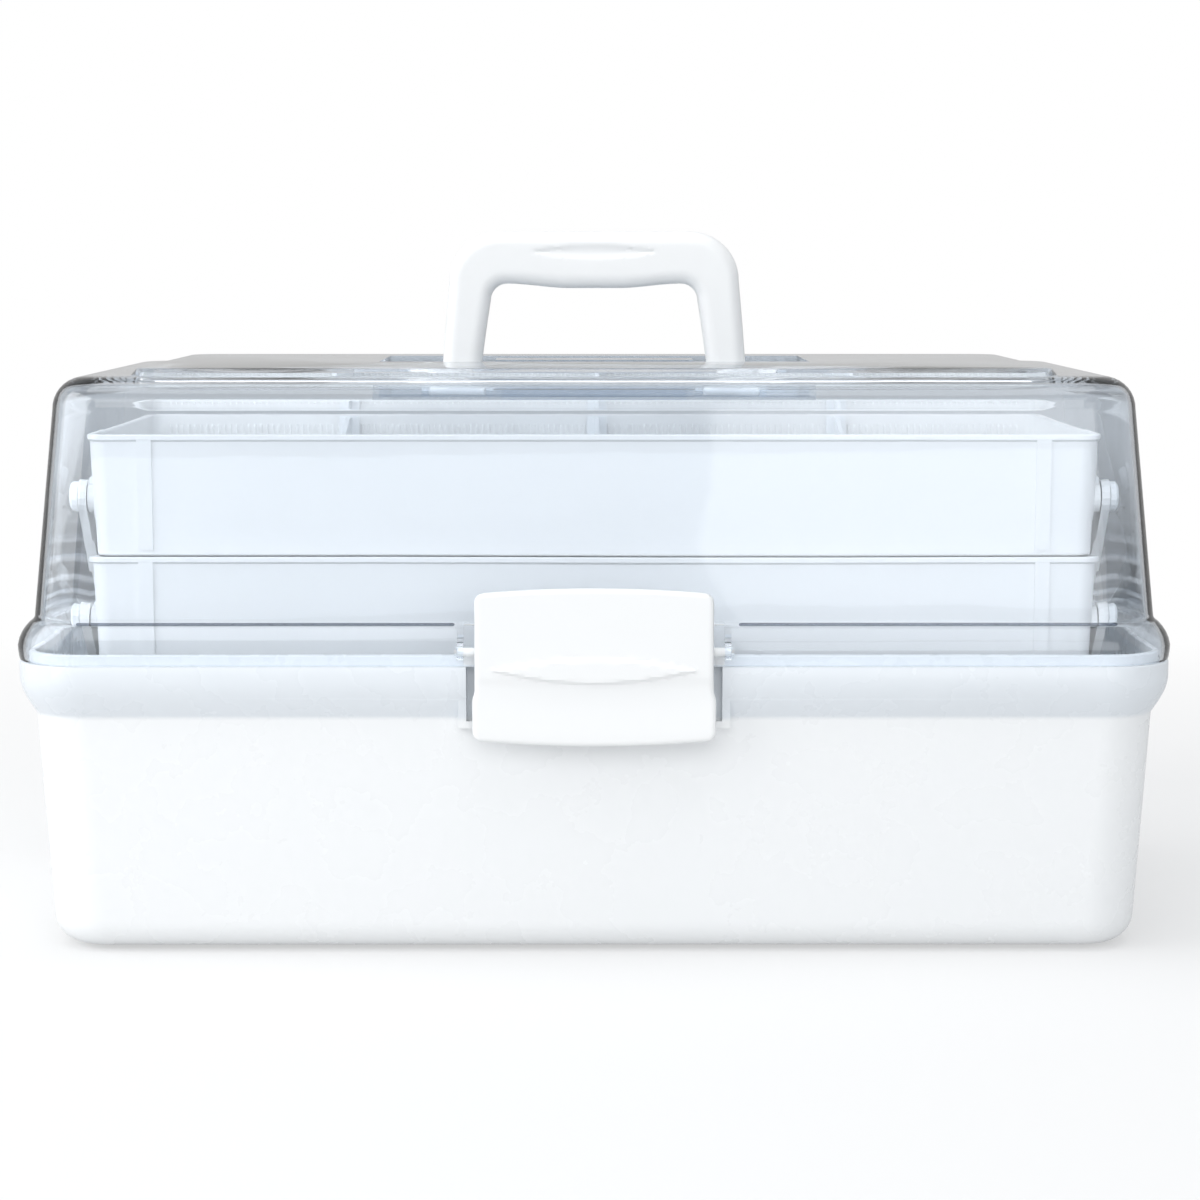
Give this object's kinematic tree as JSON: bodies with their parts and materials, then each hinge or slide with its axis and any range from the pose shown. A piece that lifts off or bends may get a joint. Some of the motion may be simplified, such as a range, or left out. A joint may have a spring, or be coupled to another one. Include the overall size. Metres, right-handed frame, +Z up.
{
  "type": "art supply box",
  "caption": "Portable art supply box: moulded base, clear hinged lid with folding handle and rocking latch, and cantilever trays with lift-out dividers.",
  "frame": {"origin": "centre of the box's footprint, on the surface it stands on", "axes": "+X along the width, -Y towards the latch at the front, +Z up"},
  "size_m": [0.3896, 0.22, 0.243],
  "materials": {
    "base_plastic": "satin moulded white polypropylene",
    "clear_plastic": "clear, faintly blue moulded polystyrene",
    "handle_plastic": "satin moulded white polypropylene",
    "latch_plastic": "satin moulded white polypropylene",
    "tray_plastic": "satin moulded white polypropylene",
    "divider_plastic": "satin translucent white polypropylene",
    "arm_plastic": "satin moulded white polypropylene",
    "rivet_plastic": "satin moulded white plastic",
    "pin_plastic": "satin moulded white plastic",
    "pin_steel": "drawn steel wire"
  },
  "bodies": {
    "base": {"base_box": "base_plastic", "lid_hinge_pin_right": "pin_steel", "lid_hinge_pin_left": "pin_steel"},
    "lid": {"lid": "clear_plastic", "latch_pin": "pin_plastic", "handle_pin_right": "pin_plastic", "handle_pin_left": "pin_plastic"},
    "handle": {"handle": "handle_plastic"},
    "latch": {"latch": "latch_plastic"},
    "mid_tray": {"mid_tray": "tray_plastic"},
    "top_tray": {"top_tray": "tray_plastic", "divider_1": "divider_plastic", "divider_2": "divider_plastic", "divider_3": "divider_plastic"},
    "long_arm_right": {"long_arm_right": "arm_plastic", "rivet_long_base_right": "rivet_plastic", "rivet_long_mid_right": "rivet_plastic", "rivet_long_top_right": "rivet_plastic"},
    "lower_arm_right": {"lower_arm_right": "arm_plastic", "rivet_lower_base_right": "rivet_plastic", "rivet_lower_mid_right": "rivet_plastic"},
    "upper_arm_right": {"upper_arm_right": "arm_plastic", "rivet_upper_mid_right": "rivet_plastic", "rivet_upper_top_right": "rivet_plastic"},
    "long_arm_left": {"long_arm_left": "arm_plastic", "rivet_long_base_left": "rivet_plastic", "rivet_long_mid_left": "rivet_plastic", "rivet_long_top_left": "rivet_plastic"},
    "lower_arm_left": {"lower_arm_left": "arm_plastic", "rivet_lower_base_left": "rivet_plastic", "rivet_lower_mid_left": "rivet_plastic"},
    "upper_arm_left": {"upper_arm_left": "arm_plastic", "rivet_upper_mid_left": "rivet_plastic", "rivet_upper_top_left": "rivet_plastic"}
  },
  "joints": [
    {"name": "lid_hinge", "type": "hinge", "parent": "base", "child": "lid", "pos_m": [0, 0.107, 0.102], "axis": [-1, 0, 0], "range_deg": [0, 115]},
    {"name": "handle_fold", "type": "hinge", "parent": "lid", "child": "handle", "pos_m": [0, 0, 0.19], "axis": [-1, 0, 0], "range_deg": [0, 90]},
    {"name": "latch_rock", "type": "hinge", "parent": "lid", "child": "latch", "pos_m": [0, -0.1036, 0.104], "axis": [-1, 0, 0], "range_deg": [0, 14]},
    {"name": "long_arm_right_pivot", "type": "hinge", "parent": "base", "child": "long_arm_right", "pos_m": [0, 0.026, 0.072], "axis": [-1, 0, 0], "range_deg": [0, 62.3]},
    {"name": "lower_arm_right_pivot", "type": "hinge", "parent": "base", "child": "lower_arm_right", "pos_m": [0, -0.019, 0.072], "axis": [-1, 0, 0], "range_deg": [0, 62.3]},
    {"name": "long_arm_left_pivot", "type": "hinge", "parent": "base", "child": "long_arm_left", "pos_m": [0, 0.026, 0.072], "axis": [-1, 0, 0], "range_deg": [0, 62.3]},
    {"name": "lower_arm_left_pivot", "type": "hinge", "parent": "base", "child": "lower_arm_left", "pos_m": [0, -0.019, 0.072], "axis": [-1, 0, 0], "range_deg": [0, 62.3]},
    {"name": "mid_tray_pivot", "type": "hinge", "parent": "long_arm_left", "child": "mid_tray", "pos_m": [0, -0.019, 0.1125], "axis": [-1, 0, 0], "range_deg": [-62.3, 0]},
    {"name": "top_tray_pivot", "type": "hinge", "parent": "long_arm_left", "child": "top_tray", "pos_m": [0, -0.064, 0.153], "axis": [-1, 0, 0], "range_deg": [-62.3, 0]},
    {"name": "upper_arm_right_pivot", "type": "hinge", "parent": "mid_tray", "child": "upper_arm_right", "pos_m": [0, 0.026, 0.1125], "axis": [-1, 0, 0], "range_deg": [0, 62.3]},
    {"name": "upper_arm_left_pivot", "type": "hinge", "parent": "mid_tray", "child": "upper_arm_left", "pos_m": [0, 0.026, 0.1125], "axis": [-1, 0, 0], "range_deg": [0, 62.3]}
  ],
  "couplings": [
    {"joint": "long_arm_right_pivot", "follows": "lid_hinge", "ratio": 0.54},
    {"joint": "lower_arm_right_pivot", "follows": "lid_hinge", "ratio": 0.54},
    {"joint": "long_arm_left_pivot", "follows": "lid_hinge", "ratio": 0.54},
    {"joint": "lower_arm_left_pivot", "follows": "lid_hinge", "ratio": 0.54},
    {"joint": "mid_tray_pivot", "follows": "lid_hinge", "ratio": -0.54},
    {"joint": "top_tray_pivot", "follows": "lid_hinge", "ratio": -0.54},
    {"joint": "upper_arm_right_pivot", "follows": "lid_hinge", "ratio": 0.54},
    {"joint": "upper_arm_left_pivot", "follows": "lid_hinge", "ratio": 0.54}
  ]
}
